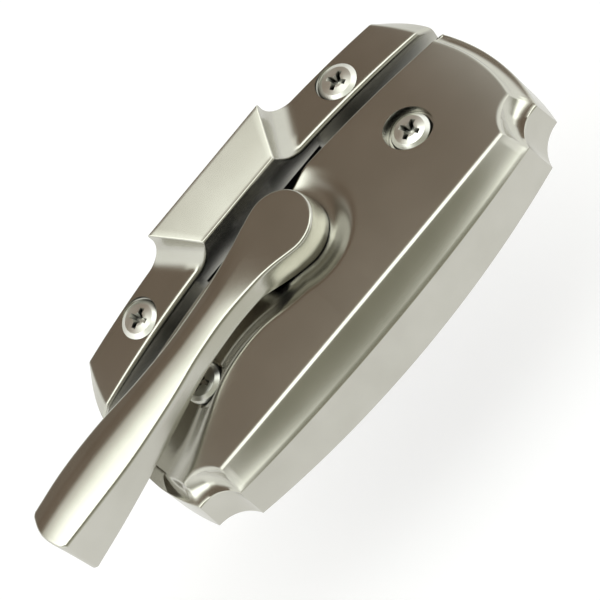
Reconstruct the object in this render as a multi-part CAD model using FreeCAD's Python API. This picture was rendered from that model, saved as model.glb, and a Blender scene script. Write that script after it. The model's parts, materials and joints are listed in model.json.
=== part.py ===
import FreeCAD, Part
import math
import os

# Cam-action window sash lock with its keeper. Millimetres.
# Origin: centre of the lock's two-screw pattern on the mounting plane.
# +X runs along the lock, +Y points to the keeper, +Z stands up off the sash.

os.makedirs("parts", exist_ok=True)

V = FreeCAD.Vector

# Mounting screws, number 8
SCREW_SPACING = 57.15
SCREW_X = SCREW_SPACING / 2.0
SCREW_R = 2.08
SCREW_NECK_R = 1.85
SCREW_CORE_R = 1.45
SHANK_END = -3.0
THREAD_PITCH = 1.6
HEAD_R = 3.95

# Crowned lock housing
CROWN_TOP = 12.71
CROWN_R = 173.0
INNER_Y = 10.8
TOP_NOTCH_END = (43.7, -9.3)
TOP_NOTCH_MID = (39.9, -10.9)
TOP_NOTCH_OUT = (37.1, -14.5)
TOP_OUTER_Y = -17.4
TOP_END_X = 45.9
TOP_END_IN_X = 44.7
RIM_NOTCH_END = (44.87, -14.5, 5.5)
RIM_NOTCH_MID = (40.37, -16.0, 6.0)
RIM_NOTCH_OUT = (37.87, -19.3, 6.3)
RIM_OUTER = (0.0, -23.3, 9.8)
RIM_END = (48.3, -1.0, 5.5)
RIM_END_IN = (47.2, INNER_Y, 5.9)
BASE_NOTCH_END = (45.7, -16.4)
BASE_NOTCH_MID = (41.3, -18.0)
BASE_NOTCH_OUT = (38.6, -21.5)
BASE_OUTER_Y = -25.2
BASE_END_X = 48.8
BASE_END_IN_X = 47.6
SHELL = 2.4
LOW_POCKET_TOP = 7.5

# Pivot and lever
PIVOT_X = 1.2
PIVOT_Y = 4.2
HUB_BOTTOM_R = 7.6
HUB_TOP_R = 6.7
HUB_BOTTOM_Z = 10.75
HUB_TOP_Z = 16.0
SHANK_R = 3.50
BUSH_IN_R = 3.55
BUSH_OUT_R = 5.0
BUSH_FLANGE_R = 6.6
BOSS_R = 8.6
BOSS_BOTTOM_Z = 7.2
SQUARE = 4.8
SQUARE_HOLE = 4.9

# Recess under the lever: x, lip y, outer y of its slope
RECESS_Z = 10.7
RECESS_DEPTH = 2.0
SEAT_R = 8.4
SEAT_SLOPE_R = 12.4
TROUGH_IN_Y = 9.7
TROUGH_SECTIONS = [
    (-2.0, -3.4, -6.8),
    (-8.0, -2.2, -6.3),
    (-14.0, -0.8, -4.6),
    (-20.0, -0.2, -3.9),
    (-26.0, -0.6, -4.4),
    (-32.0, -1.6, -6.4),
    (-38.0, -2.7, -8.6),
    (-44.0, -3.2, -9.8),
    (-52.0, -3.6, -10.6),
]

# Lever sections: x, right y, crest y, left y, crest z, bottom z, side flare
LEVER_SECTIONS = [
    (-1.0, -2.1, 6.8, 9.8, 16.0, 13.0, 0.2),
    (-8.0, -1.4, 5.8, 8.8, 16.0, 13.0, 0.2),
    (-16.0, -1.1, 4.6, 7.4, 16.1, 12.95, 0.3),
    (-26.0, -1.8, 3.7, 6.3, 16.2, 12.6, 0.5),
    (-36.0, -3.1, 3.4, 6.2, 16.2, 11.3, 0.8),
    (-46.0, -4.4, 3.3, 6.8, 16.2, 10.0, 1.1),
    (-56.0, -5.2, 3.0, 6.5, 16.2, 8.5, 1.5),
    (-67.0, -5.7, 1.4, 4.7, 16.2, 7.0, 1.9),
]
TIP_R = 20.0
TIP_X = -46.3
TIP_Y = -2.4

# Locking cam: hub, shoulder for the stop, spoke and crescent arm
CAM_Z = 3.9
CAM_TOP_Z = 6.1
CAM_HUB_R = 6.0
CAM_SHOULDER_R = 9.3
CAM_ARM_IN_R = 13.2
CAM_ARM_OUT_R = 16.8
CAM_FROM = 190.0
CAM_TO = 350.0
CAM_SPOKE_TO = 216.0
CAM_SLOT_X = 17.8
CAM_SLOT_TOP = 7.3
STOP_R = 1.55
STOP_AT = 9.5

# Index block and its leaf spring
INDEX_Z = 1.9
INDEX_SIDE = 9.0
SPRING_T = 0.4
SPRING_LOW = 2.1
SPRING_HIGH = 3.7
SPRING_TAB_X = (-21.4, -14.0)
SPRING_TAB_Y = (-7.0, -0.3)
SPRING_RIVETS = [(-19.2, -4.6), (-16.0, -4.6)]
SPRING_FREE_X = 14.0

# Base plate
PLATE_T = 1.2
PLATE_RIVETS = [(39.2, -5.5), (-39.2, -5.5), (17.5, -17.3), (-17.5, -17.3)]
RIVET_R = 1.2
POST_R = 2.7

# Keeper
KEEP_IN_Y = 15.0
KEEP_OUT_Y = 24.9
KEEP_TOP = 11.4
KEEP_R = 195.0
KEEP_TOP_IN_X = 45.0
KEEP_TOP_OUT_X = 41.5
KEEP_TOP_BULGE = 0.3
KEEP_BASE_IN_X = 47.6
KEEP_BASE_OUT_X = 42.4
KEEP_BASE_BULGE = 0.8
KEEP_SHOULDER_DROP = 1.2
KEEP_SCREW_Y = 20.2
HOOD_IN_X = 10.6
HOOD_OUT_X = 16.6
HOOD_IN_Z = 15.0
HOOD_OUT_Z = 16.8
HOOD_COVE_R = 5.5
MOUTH_LOW_X = -15.0
MOUTH_HIGH_X = 17.4
MOUTH_TOP = 8.4
MOUTH_FRONT_TOP = 7.4
MOUTH_BACK_Y = 22.4
MOUTH_RIB = 1.6
TONGUE_HALF = 3.4
TONGUE_BACK_Y = 16.6
LINER = 1.0
LINER_FOOT = 0.7
LINER_PLAY = 0.02

# Heads
LOCK_SEAT_Z = 7.8
LOCK_HEAD_H = 2.2
COUNTERBORE_R = 4.6
KEEP_SINK_R = 4.24
KEEP_SEAT_Z = 7.0
LOCK_SCREW_TIP = -19.0
KEEP_SCREW_TIP = -16.0


def crown_z(x, top=CROWN_TOP, radius=CROWN_R):
    return top - radius + math.sqrt(radius * radius - x * x)


def crown_solid(top, radius):
    """Everything under a crowned surface that arches along X."""
    axis_start = V(0.0, -60.0, top - radius)
    cylinder = Part.makeCylinder(radius, 140.0, axis_start, V(0, 1, 0))
    cylinder.rotate(axis_start, V(0, 1, 0), 180.0)
    keep = Part.makeBox(140.0, 140.0, 60.0, V(-70.0, -60.0, -30.0))
    return cylinder.common(keep)


def arc(p, q, r):
    return Part.Arc(V(*p), V(*q), V(*r)).toShape()


def line(p, q):
    return Part.makeLine(V(*p), V(*q))


def prism(edges, z_low, z_high):
    face = Part.Face(Part.Wire(Part.__sortEdges__(edges)))
    face.translate(V(0, 0, z_low))
    return face.extrude(V(0, 0, z_high - z_low))


def polygon_prism(points, z_low, z_high):
    closed = [V(x, y, z_low) for x, y in points]
    closed.append(closed[0])
    return Part.Face(Part.makePolygon(closed)).extrude(V(0, 0, z_high - z_low))


def ring(r_out, r_in, z_low, z_high, x=0.0, y=0.0):
    body = Part.makeCylinder(r_out, z_high - z_low, V(x, y, z_low))
    hole = Part.makeCylinder(r_in, z_high - z_low + 2.0, V(x, y, z_low - 1.0))
    return body.cut(hole)


def post(r, z_low, z_high, x=0.0, y=0.0):
    return Part.makeCylinder(r, z_high - z_low, V(x, y, z_low))


def square_post(side, z_low, z_high, x, y):
    corner = V(x - side / 2.0, y - side / 2.0, z_low)
    return Part.makeBox(side, side, z_high - z_low, corner)


def fuse_all(shapes):
    result = shapes[0]
    for shape in shapes[1:]:
        result = result.fuse(shape)
    return result.removeSplitter()


def flip(point):
    return (-point[0],) + tuple(point[1:])


def flat(point, z=0.0):
    return (point[0], point[1], z)


def top_outline():
    """Plan outline of the crowned top, scalloped at its two outer corners."""
    end_in = (TOP_END_IN_X, INNER_Y)
    end_mid = (TOP_END_X, 1.5)
    edges = [line(flat(flip(end_in)), flat(end_in))]
    for side in (lambda p: p, flip):
        edges.append(arc(flat(side(end_in)), flat(side(end_mid)), flat(side(TOP_NOTCH_END))))
        edges.append(arc(flat(side(TOP_NOTCH_END)), flat(side(TOP_NOTCH_MID)), flat(side(TOP_NOTCH_OUT))))
    edges.append(arc(flat(TOP_NOTCH_OUT), (0.0, TOP_OUTER_Y, 0.0), flat(flip(TOP_NOTCH_OUT))))
    return edges


def side_edges():
    """Matching rim and base edges: end, notch, outer, notch, end."""
    base_end = (BASE_END_X, -1.0)
    base_in = (BASE_END_IN_X, INNER_Y)
    rim = []
    base = []
    for side in (lambda p: p, flip):
        rim.append(arc(side(RIM_END_IN), side(RIM_END), side(RIM_NOTCH_END)))
        rim.append(arc(side(RIM_NOTCH_END), side(RIM_NOTCH_MID), side(RIM_NOTCH_OUT)))
        base.append(arc(flat(side(base_in)), flat(side(base_end)), flat(side(BASE_NOTCH_END))))
        base.append(arc(flat(side(BASE_NOTCH_END)), flat(side(BASE_NOTCH_MID)), flat(side(BASE_NOTCH_OUT))))
    rim.append(arc(RIM_NOTCH_OUT, RIM_OUTER, flip(RIM_NOTCH_OUT)))
    base.append(arc(flat(BASE_NOTCH_OUT), (0.0, BASE_OUTER_Y, 0.0), flat(flip(BASE_NOTCH_OUT))))
    return rim, base


def middle(edge):
    return edge.valueAt((edge.FirstParameter + edge.LastParameter) / 2.0)


def closest_edge(edges, target):
    return min(edges, key=lambda e: middle(e).distanceToPoint(middle(target)))


def housing_block():
    """Solid crowned block with a bevelled band and scalloped corners."""
    plug = prism(top_outline(), -5.0, 30.0).common(crown_solid(CROWN_TOP, CROWN_R))
    top = max(plug.Faces, key=lambda f: f.CenterOfMass.z)
    rim, base = side_edges()
    faces = [top]
    for rim_edge, base_edge in zip(rim, base):
        top_edge = closest_edge(top.Edges, rim_edge)
        faces.append(Part.makeRuledSurface(top_edge, rim_edge))
        faces.append(Part.makeRuledSurface(rim_edge, base_edge))
    inner_base = line((BASE_END_IN_X, INNER_Y, 0.0), (-BASE_END_IN_X, INNER_Y, 0.0))
    faces.append(Part.Face(Part.Wire(Part.__sortEdges__(base + [inner_base]))))
    inner_top = min(top.Edges, key=lambda e: abs(middle(e).y - INNER_Y))
    inner = [inner_base, inner_top]
    for sign in (1.0, -1.0):
        rim_point = (sign * RIM_END_IN[0], RIM_END_IN[1], RIM_END_IN[2])
        top_point = (sign * TOP_END_IN_X, INNER_Y, crown_z(TOP_END_IN_X))
        inner.append(line((sign * BASE_END_IN_X, INNER_Y, 0.0), rim_point))
        inner.append(line(rim_point, top_point))
    faces.append(Part.Face(Part.Wire(Part.__sortEdges__(inner))))
    shell = Part.makeShell(faces)
    shell.sewShape()
    solid = Part.makeSolid(shell)
    if solid.Volume < 0.0:
        solid.reverse()
    return solid


def cavity_outline(step):
    """Underside pocket outline, moved in from the walls by a step."""
    half = [
        (43.4 - step, 8.4 - step),
        (44.0 - step, -3.0),
        (42.2 - step, -12.6 + step),
        (38.4 - step, -14.6 + step),
        (35.6 - step, -18.2 + step),
        (18.0, -20.6 + step),
    ]
    return half + [(0.0, -21.2 + step)] + [flip(p) for p in reversed(half)]


def recess():
    """Lever recess: a coved round seat for the hub, then a trough to the lower end."""
    seat = post(SEAT_R, RECESS_Z, 20.0, PIVOT_X, PIVOT_Y)
    slope_h = CROWN_TOP - RECESS_Z + 0.3
    slope = Part.makeCone(SEAT_R, SEAT_SLOPE_R, slope_h, V(PIVOT_X, PIVOT_Y, RECESS_Z))
    loops = []
    for x, y_lip, y_outer in TROUGH_SECTIONS:
        crown = crown_z(max(x, -50.0))
        floor = crown - RECESS_DEPTH
        points = [
            V(x, TROUGH_IN_Y, floor),
            V(x, y_lip, floor),
            V(x, y_outer, crown + 0.1),
            V(x, y_outer, crown + 4.0),
            V(x, TROUGH_IN_Y, crown + 4.0),
        ]
        loops.append(Part.makePolygon(points + [points[0]]))
    trough = Part.makeLoft(loops, True, False)
    return seat.fuse(slope).fuse(trough)


def housing():
    body = housing_block()
    low = polygon_prism(cavity_outline(0.0), -1.0, 30.0).common(crown_solid(LOW_POCKET_TOP, 290.0))
    high_outline = polygon_prism(cavity_outline(2.6), -1.0, 30.0)
    mid = high_outline.common(crown_solid(CROWN_TOP - 4.4, CROWN_R - 4.4))
    outer_side = Part.makeBox(140.0, 60.0, 60.0, V(-70.0, -67.0, -20.0))
    high = high_outline.common(outer_side)
    high = high.common(crown_solid(CROWN_TOP - SHELL, CROWN_R - SHELL))
    cavity = low.fuse(mid).fuse(high)
    cavity = cavity.cut(post(BOSS_R, BOSS_BOTTOM_Z, 20.0, PIVOT_X, PIVOT_Y))
    for sign in (1.0, -1.0):
        cavity = cavity.cut(post(6.6, -2.0, 20.0, sign * SCREW_X, 0.0))
    for x, y in PLATE_RIVETS:
        cavity = cavity.cut(post(POST_R, PLATE_T, 20.0, x, y))
    cavity = cavity.cut(post(2.6, 6.5, 20.0, PIVOT_X - STOP_AT, PIVOT_Y))
    body = body.cut(cavity)
    for sign in (1.0, -1.0):
        body = body.cut(post(2.3, -1.0, 20.0, sign * SCREW_X, 0.0))
        body = body.cut(post(COUNTERBORE_R, LOCK_SEAT_Z, 20.0, sign * SCREW_X, 0.0))
    for x, y in PLATE_RIVETS:
        body = body.cut(post(RIVET_R, PLATE_T - 1.0, PLATE_T + 3.0, x, y))
    body = body.cut(post(STOP_R, 6.0, 8.0, PIVOT_X - STOP_AT, PIVOT_Y))
    slot_low = V(PIVOT_X - CAM_SLOT_X, 6.0, -1.0)
    body = body.cut(Part.makeBox(2.0 * CAM_SLOT_X, 6.0, CAM_SLOT_TOP + 1.0, slot_low))
    body = body.cut(post(BUSH_OUT_R, 0.0, 20.0, PIVOT_X, PIVOT_Y))
    body = body.cut(recess())
    return body.cut(post(BUSH_FLANGE_R, RECESS_Z - 0.8, 20.0, PIVOT_X, PIVOT_Y))


def pivot_bush():
    sleeve = ring(BUSH_OUT_R, BUSH_IN_R, BOSS_BOTTOM_Z, RECESS_Z - 0.1, PIVOT_X, PIVOT_Y)
    flange = ring(BUSH_FLANGE_R, BUSH_IN_R, RECESS_Z - 0.8, RECESS_Z, PIVOT_X, PIVOT_Y)
    return sleeve.fuse(flange).removeSplitter()


def base_plate():
    plate = polygon_prism(cavity_outline(0.1), 0.0, PLATE_T)
    plate = plate.cut(post(5.4, -1.0, 3.0, PIVOT_X, PIVOT_Y))
    for sign in (1.0, -1.0):
        plate = plate.cut(post(6.7, -1.0, 3.0, sign * SCREW_X, 0.0))
    for x, y in PLATE_RIVETS:
        plate = plate.cut(post(RIVET_R, -1.0, 3.0, x, y))
        plate = plate.cut(Part.makeCone(2.1, RIVET_R, 0.7, V(x, y, 0.0)))
    for x, y in SPRING_RIVETS:
        plate = plate.cut(post(0.8, -1.0, 3.0, x, y))
    return plate.cut(post(STOP_R - 0.35, -1.0, 3.0, PIVOT_X - STOP_AT, PIVOT_Y))


def base_rivets():
    rivets = []
    for x, y in PLATE_RIVETS:
        head = Part.makeCone(2.1, RIVET_R, 0.7, V(x, y, 0.0))
        rivets.append(head.fuse(post(RIVET_R, 0.0, PLATE_T + 3.0, x, y)).removeSplitter())
    return Part.makeCompound(rivets)


def stop_pin():
    x = PIVOT_X - STOP_AT
    foot = post(STOP_R - 0.35, 0.1, PLATE_T, x, PIVOT_Y)
    return foot.fuse(post(STOP_R, PLATE_T, 8.0, x, PIVOT_Y)).removeSplitter()


def detent_spring():
    """Leaf spring: a riveted tab on the plate, folded up into a blade."""
    flat_y = PIVOT_Y - INDEX_SIDE / 2.0 - 0.02
    x_low, x_high = SPRING_TAB_X
    y_low = SPRING_TAB_Y[0]
    tab = Part.makeBox(x_high - x_low, flat_y - y_low, SPRING_T, V(x_low, y_low, PLATE_T))
    rise = V(x_low, flat_y - SPRING_T, PLATE_T)
    fold = Part.makeBox(x_high - x_low, SPRING_T, SPRING_HIGH - PLATE_T, rise)
    start = V(x_high - 0.5, flat_y - SPRING_T, SPRING_LOW)
    length = SPRING_FREE_X - start.x
    blade = Part.makeBox(length, SPRING_T, SPRING_HIGH - SPRING_LOW, start)
    spring = tab.fuse(fold).fuse(blade)
    for x, y in SPRING_RIVETS:
        spring = spring.cut(post(0.8, 0.0, 3.0, x, y))
    return spring.removeSplitter()


def spring_rivets():
    rivets = []
    for x, y in SPRING_RIVETS:
        shank = post(0.8, 0.1, PLATE_T + SPRING_T, x, y)
        head = post(1.4, PLATE_T + SPRING_T, PLATE_T + SPRING_T + 0.6, x, y)
        rivets.append(shank.fuse(head).removeSplitter())
    return Part.makeCompound(rivets)


def cross_recess(top_z, depth, x, y):
    """Tapered four-armed driver recess."""
    tool = Part.makeCone(0.5, 1.15, depth, V(x, y, top_z - depth))
    for turn in (0.0, 90.0):
        low = [V(-1.3, -0.32, -depth), V(1.3, -0.32, -depth), V(1.3, 0.32, -depth), V(-1.3, 0.32, -depth)]
        high = [V(-2.2, -0.5, 0.1), V(2.2, -0.5, 0.1), V(2.2, 0.5, 0.1), V(-2.2, 0.5, 0.1)]
        loops = [Part.makePolygon(low + [low[0]]), Part.makePolygon(high + [high[0]])]
        arm = Part.makeLoft(loops, True, True)
        arm.rotate(V(0, 0, 0), V(0, 0, 1), turn + 20.0)
        arm.translate(V(x, y, top_z))
        tool = tool.fuse(arm)
    return tool


def thread_profile(start_z, tip_z):
    """Half outline of a screw's ridged part, from its shank to its point."""
    points = []
    z = start_z
    while z > tip_z + 3.6:
        points.append((SCREW_R, z))
        points.append((SCREW_CORE_R, z - 0.6))
        points.append((SCREW_CORE_R, z - 1.0))
        z -= THREAD_PITCH
    points.append((SCREW_R, z))
    points.append((0.0, tip_z))
    return points


def screw(head_points, seat_z, tip_z, x, y, recess_top):
    """Turned wood screw: head, neck down to the sash, full shank, ridges and point."""
    neck = [(SCREW_NECK_R, seat_z), (SCREW_NECK_R, 0.0), (SCREW_R, 0.0)]
    outline = head_points + neck + thread_profile(SHANK_END, tip_z)
    corners = [V(r, 0.0, z) for r, z in outline]
    face = Part.Face(Part.makePolygon(corners + [corners[0]]))
    body = face.revolve(V(0, 0, 0), V(0, 0, 1), 360.0)
    body.translate(V(x, y, 0.0))
    return body.cut(cross_recess(recess_top, 1.6, x, y))


def lock_screw(x):
    top = LOCK_SEAT_Z + LOCK_HEAD_H
    head = [
        (0.0, top),
        (1.6, top - 0.1),
        (2.9, top - 0.4),
        (3.7, top - 0.9),
        (HEAD_R, top - 1.5),
        (HEAD_R, LOCK_SEAT_Z),
    ]
    return screw(head, LOCK_SEAT_Z, LOCK_SCREW_TIP, x, 0.0, top)


def keeper_screw(x):
    head = [
        (0.0, KEEP_SEAT_Z + 2.75),
        (1.6, KEEP_SEAT_Z + 2.65),
        (3.0, KEEP_SEAT_Z + 2.4),
        (HEAD_R, KEEP_SEAT_Z + 1.9),
    ]
    return screw(head, KEEP_SEAT_Z, KEEP_SCREW_TIP, x, KEEP_SCREW_Y, KEEP_SEAT_Z + 2.75)


def lever_section(x, y_right, y_crest, y_left, z_crest, z_low, flare):
    return [
        (x, y_right, z_crest - 1.4),
        (x, y_right + 0.8, z_crest - 0.8),
        (x, y_crest, z_crest),
        (x, y_left - 0.6, z_crest - 0.4),
        (x, y_left, z_crest - 1.0),
        (x, y_left + 0.3 * flare, z_low),
        (x, y_right - flare, z_low),
    ]


def lever():
    """Round hub, thin neck and flared grip in one piece with the shank."""
    loops = []
    for row in LEVER_SECTIONS:
        points = [V(*p) for p in lever_section(*row)]
        loops.append(Part.makePolygon(points + [points[0]]))
    arm = Part.makeLoft(loops, True, False)
    tip = post(TIP_R, 0.0, 30.0, TIP_X, TIP_Y)
    tip = tip.fuse(Part.makeBox(80.0, 28.0, 30.0, V(TIP_X - 1.0, -14.0, 0.0)))
    arm = arm.common(tip)
    height = HUB_TOP_Z - HUB_BOTTOM_Z
    hub = Part.makeCone(HUB_BOTTOM_R, HUB_TOP_R, height, V(PIVOT_X, PIVOT_Y, HUB_BOTTOM_Z))
    rim = [e for e in hub.Edges if abs(e.CenterOfMass.z - HUB_TOP_Z) < 0.01]
    hub = hub.makeFillet(0.9, rim)
    shank = post(SHANK_R, CAM_TOP_Z, HUB_BOTTOM_Z + 1.0, PIVOT_X, PIVOT_Y)
    drive = square_post(SQUARE, INDEX_Z + 0.05, CAM_TOP_Z + 1.0, PIVOT_X, PIVOT_Y)
    body = hub.fuse(arm).fuse(shank).fuse(drive).removeSplitter()
    return body.cut(post(1.7, 0.0, 9.0, PIVOT_X, PIVOT_Y))


def sector(r_out, r_in, z_low, z_high, start, end):
    """Ring sector about the pivot between two angles in degrees."""
    body = Part.makeCylinder(r_out, z_high - z_low, V(0, 0, z_low), V(0, 0, 1), end - start)
    hole = post(r_in, z_low - 1.0, z_high + 1.0)
    body = body.cut(hole)
    body.rotate(V(0, 0, 0), V(0, 0, 1), start)
    body.translate(V(PIVOT_X, PIVOT_Y, 0.0))
    return body


def locking_cam():
    """Crescent arm on a spoke; its gap takes the keeper's tongue."""
    hub = post(CAM_HUB_R, CAM_Z, CAM_TOP_Z, PIVOT_X, PIVOT_Y)
    shoulder = sector(CAM_SHOULDER_R, 3.0, CAM_Z, CAM_TOP_Z, CAM_FROM, CAM_TO)
    spoke = sector(CAM_ARM_OUT_R, 3.0, CAM_Z, CAM_TOP_Z, CAM_FROM, CAM_SPOKE_TO)
    crescent = sector(CAM_ARM_OUT_R, CAM_ARM_IN_R, CAM_Z, CAM_TOP_Z, CAM_FROM, CAM_TO)
    body = fuse_all([hub, shoulder, spoke, crescent])
    nose = [e for e in body.Edges if is_nose(e)]
    body = body.makeFillet(1.5, nose)
    return body.cut(square_post(SQUARE_HOLE, 0.0, 20.0, PIVOT_X, PIVOT_Y))


def is_nose(edge):
    """Upright edges at the free end of the crescent."""
    if edge.BoundBox.ZLength < 2.0:
        return False
    angle = math.degrees(math.atan2(edge.CenterOfMass.y - PIVOT_Y, edge.CenterOfMass.x - PIVOT_X))
    reach = math.hypot(edge.CenterOfMass.y - PIVOT_Y, edge.CenterOfMass.x - PIVOT_X)
    return abs(angle - (CAM_TO - 360.0)) < 1.0 and reach > 12.0


def detent_hub():
    block = square_post(INDEX_SIDE, INDEX_Z, CAM_Z, PIVOT_X, PIVOT_Y)
    block = block.common(post(5.7, 0.0, 20.0, PIVOT_X, PIVOT_Y))
    return block.cut(square_post(SQUARE_HOLE, 0.0, 20.0, PIVOT_X, PIVOT_Y))


def wave_washer():
    """Ring bent into three waves between the thrust washer and the cam."""
    count = 48
    mean = 6.4
    loops = []
    for step in range(count):
        angle = 2.0 * math.pi * step / count
        z = mean + 0.13 * math.sin(3.0 * angle)
        radial = V(math.cos(angle), math.sin(angle), 0.0)
        corners = []
        for r, lift in ((3.7, -0.14), (6.2, -0.14), (6.2, 0.14), (3.7, 0.14)):
            corners.append(V(PIVOT_X, PIVOT_Y, z + lift) + radial * r)
        loops.append(Part.makePolygon(corners + [corners[0]]))
    return Part.makeLoft(loops, True, False, True)


def cam_screw():
    head = post(3.1, 0.15, 1.4, PIVOT_X, PIVOT_Y)
    rim = [e for e in head.Edges if abs(e.CenterOfMass.z - 0.15) < 0.01]
    head = head.makeFillet(0.6, rim)
    shank = post(1.7, 1.4, 8.6, PIVOT_X, PIVOT_Y)
    slot = Part.makeBox(8.0, 0.9, 0.9, V(PIVOT_X - 4.0, PIVOT_Y - 0.45, -0.05))
    return head.fuse(shank).removeSplitter().cut(slot)


def keeper_end(in_x, out_x, bulge, share):
    """Distance of the strap's end from the middle, at a share of its width."""
    return in_x + (out_x - in_x) * share + 4.0 * bulge * share * (1.0 - share)


def keeper_strap():
    """Crowned strap; its ends carry on the curve of the lock's ends and are bevelled."""
    loops = []
    for step in range(5):
        share = step / 4.0
        y = KEEP_IN_Y + (KEEP_OUT_Y - KEEP_IN_Y) * share
        top_x = keeper_end(KEEP_TOP_IN_X, KEEP_TOP_OUT_X, KEEP_TOP_BULGE, share)
        base_x = keeper_end(KEEP_BASE_IN_X, KEEP_BASE_OUT_X, KEEP_BASE_BULGE, share)
        top_z = crown_z(top_x, KEEP_TOP, KEEP_R)
        shoulder_z = crown_z(base_x, KEEP_TOP, KEEP_R) - KEEP_SHOULDER_DROP
        half = [(base_x, 0.0), (base_x, shoulder_z), (top_x, top_z), (top_x, 20.0)]
        outline = half + [flip(p) for p in reversed(half)]
        points = [V(x, y, z) for x, z in outline]
        loops.append(Part.makePolygon(points + [points[0]]))
    return Part.makeLoft(loops, True, False).common(crown_solid(KEEP_TOP, KEEP_R))


def keeper_hood():
    """Raised hood with coved ends and a top that rises to the outside."""
    y_in = KEEP_IN_Y
    y_out = KEEP_OUT_Y
    grow = HOOD_COVE_R
    plan = [
        (-HOOD_IN_X - grow, y_in),
        (HOOD_IN_X + grow, y_in),
        (HOOD_OUT_X + grow, y_out),
        (-HOOD_OUT_X - grow, y_out),
    ]
    body = polygon_prism(plan, 0.0, 30.0)
    profile = [
        V(0, y_in, 0),
        V(0, y_out, 0),
        V(0, y_out, HOOD_OUT_Z),
        V(0, y_in, HOOD_IN_Z),
    ]
    wedge = Part.Face(Part.makePolygon(profile + [profile[0]])).extrude(V(80.0, 0, 0))
    wedge.translate(V(-40.0, 0, 0))
    body = body.common(wedge)
    for sign in (1.0, -1.0):
        start = V(sign * (HOOD_IN_X + grow), y_in, crown_z(18.0, KEEP_TOP, KEEP_R) + grow)
        run = V(sign * (HOOD_OUT_X - HOOD_IN_X), y_out - y_in, 0.0)
        start = start - run
        cove = Part.makeCylinder(grow, 3.0 * run.Length, start, run)
        body = body.cut(cove)
        slab = [
            (sign * HOOD_IN_X, y_in - 1.0),
            (sign * HOOD_IN_X + sign * 60.0, y_in - 1.0),
            (sign * HOOD_OUT_X + sign * 60.0, y_out + 1.0),
            (sign * HOOD_OUT_X, y_out + 1.0),
        ]
        low = crown_z(18.0, KEEP_TOP, KEEP_R) + grow
        body = body.cut(polygon_prism(slab, low, 40.0))
    return body


def keeper():
    body = keeper_strap().fuse(keeper_hood()).removeSplitter()
    pocket = Part.makeBox(84.0, 5.2, 30.0, V(-42.0, 17.3, -1.0))
    pocket = pocket.common(crown_solid(KEEP_TOP - 3.0, KEEP_R - 3.0))
    width = MOUTH_HIGH_X - MOUTH_LOW_X
    ribbed = Part.makeBox(width + 2.0 * MOUTH_RIB, 12.0, 30.0, V(MOUTH_LOW_X - MOUTH_RIB, 14.0, -2.0))
    pocket = pocket.cut(ribbed)
    for sign in (1.0, -1.0):
        pocket = pocket.cut(post(4.7, -2.0, 20.0, sign * SCREW_X, KEEP_SCREW_Y))
    for sign in (1.0, -1.0):
        x = sign * SCREW_X
        body = body.cut(post(2.3, -1.0, 20.0, x, KEEP_SCREW_Y))
        sink = Part.makeCone(SCREW_R + 0.1, KEEP_SINK_R, 2.1, V(x, KEEP_SCREW_Y, KEEP_SEAT_Z))
        body = body.cut(sink.fuse(post(KEEP_SINK_R, KEEP_SEAT_Z + 2.1, 20.0, x, KEEP_SCREW_Y)))
    body = body.cut(pocket)
    room = V(MOUTH_LOW_X, TONGUE_BACK_Y, -1.0)
    body = body.cut(Part.makeBox(width, MOUTH_BACK_Y - TONGUE_BACK_Y, MOUTH_TOP + 1.0, room))
    mouth = Part.makeBox(width, 4.0, MOUTH_FRONT_TOP + 1.0, V(MOUTH_LOW_X, 13.0, -1.0))
    tongue = Part.makeBox(2.0 * TONGUE_HALF, 10.0, 20.0, V(PIVOT_X - TONGUE_HALF, 11.0, 0.6))
    return body.cut(mouth.cut(tongue))


def keeper_liner():
    """Acetal channel that the crescent rubs on inside the mouth, closed underneath by its foot."""
    x_low = MOUTH_LOW_X + LINER_PLAY
    width = MOUTH_HIGH_X - MOUTH_LOW_X - 2.0 * LINER_PLAY
    depth = MOUTH_BACK_Y - TONGUE_BACK_Y - 0.1
    top = Part.makeBox(width, depth, LINER, V(x_low, TONGUE_BACK_Y + 0.1, MOUTH_TOP - LINER))
    back = Part.makeBox(width, LINER, MOUTH_TOP, V(x_low, MOUTH_BACK_Y - LINER, 0.0))
    foot = Part.makeBox(width, depth, LINER_FOOT, V(x_low, TONGUE_BACK_Y + 0.1, 0.0))
    return top.fuse([back, foot]).removeSplitter()


def main():
    nodes = {
        "lock_housing": housing(),
        "pivot_bush": pivot_bush(),
        "base_plate": base_plate(),
        "base_rivets": base_rivets(),
        "stop_pin": stop_pin(),
        "detent_spring": detent_spring(),
        "spring_rivets": spring_rivets(),
        "lock_screw_upper": lock_screw(SCREW_X),
        "lock_screw_lower": lock_screw(-SCREW_X),
        "lever": lever(),
        "thrust_washer": ring(6.4, 3.6, 6.7, BOSS_BOTTOM_Z, PIVOT_X, PIVOT_Y),
        "wave_washer": wave_washer(),
        "locking_cam": locking_cam(),
        "detent_hub": detent_hub(),
        "lock_washer": ring(2.9, 1.75, 1.4, INDEX_Z, PIVOT_X, PIVOT_Y),
        "cam_screw": cam_screw(),
        "keeper": keeper(),
        "keeper_liner": keeper_liner(),
        "keeper_screw_upper": keeper_screw(SCREW_X),
        "keeper_screw_lower": keeper_screw(-SCREW_X),
    }
    for name, shape in nodes.items():
        shape.exportStep("parts/" + name + ".step")
        print(name, shape.isValid(), len(shape.Solids), round(shape.Volume, 1))


main()
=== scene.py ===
import json
import math

import bmesh
import bpy
import numpy as np
from mathutils import Matrix, Vector


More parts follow.
